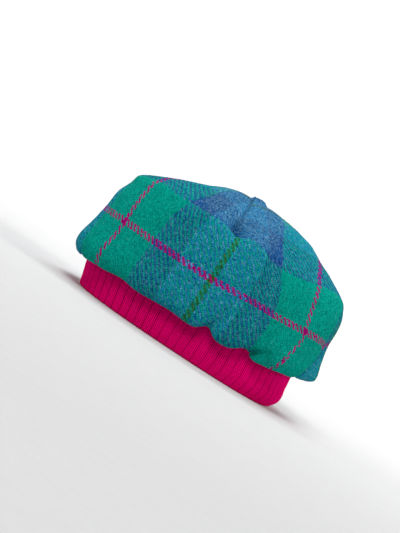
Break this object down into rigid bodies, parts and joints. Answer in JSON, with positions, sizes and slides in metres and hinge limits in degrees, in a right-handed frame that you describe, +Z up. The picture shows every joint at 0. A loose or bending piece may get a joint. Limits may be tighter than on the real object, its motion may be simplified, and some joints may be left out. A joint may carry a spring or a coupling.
{
  "type": "beret",
  "caption": "Soft tweed beret: two darted side panels and wedge gussets front and back, hanging in a soft roll over a ribbed knit band that is open below for the head.",
  "frame": {"origin": "On the surface that the band's rim stands on, under the middle of the hat's length and width", "axes": "+Z up through the crown, -Y towards the hat's front, +X towards the wearer's left"},
  "size_m": [0.1834, 0.241, 0.1463],
  "materials": {
    "side_tweed": "brushed wool twill, teal with blue checks, magenta and olive lines",
    "gusset_tweed": "the blue part of the same wool twill",
    "rib_knit": "magenta-pink ribbed wool knit"
  },
  "bodies": {
    "root": {"left_panel": "side_tweed", "right_panel": "side_tweed", "front_gusset": "gusset_tweed", "back_gusset": "gusset_tweed", "knit_band": "rib_knit"}
  },
  "joints": []
}
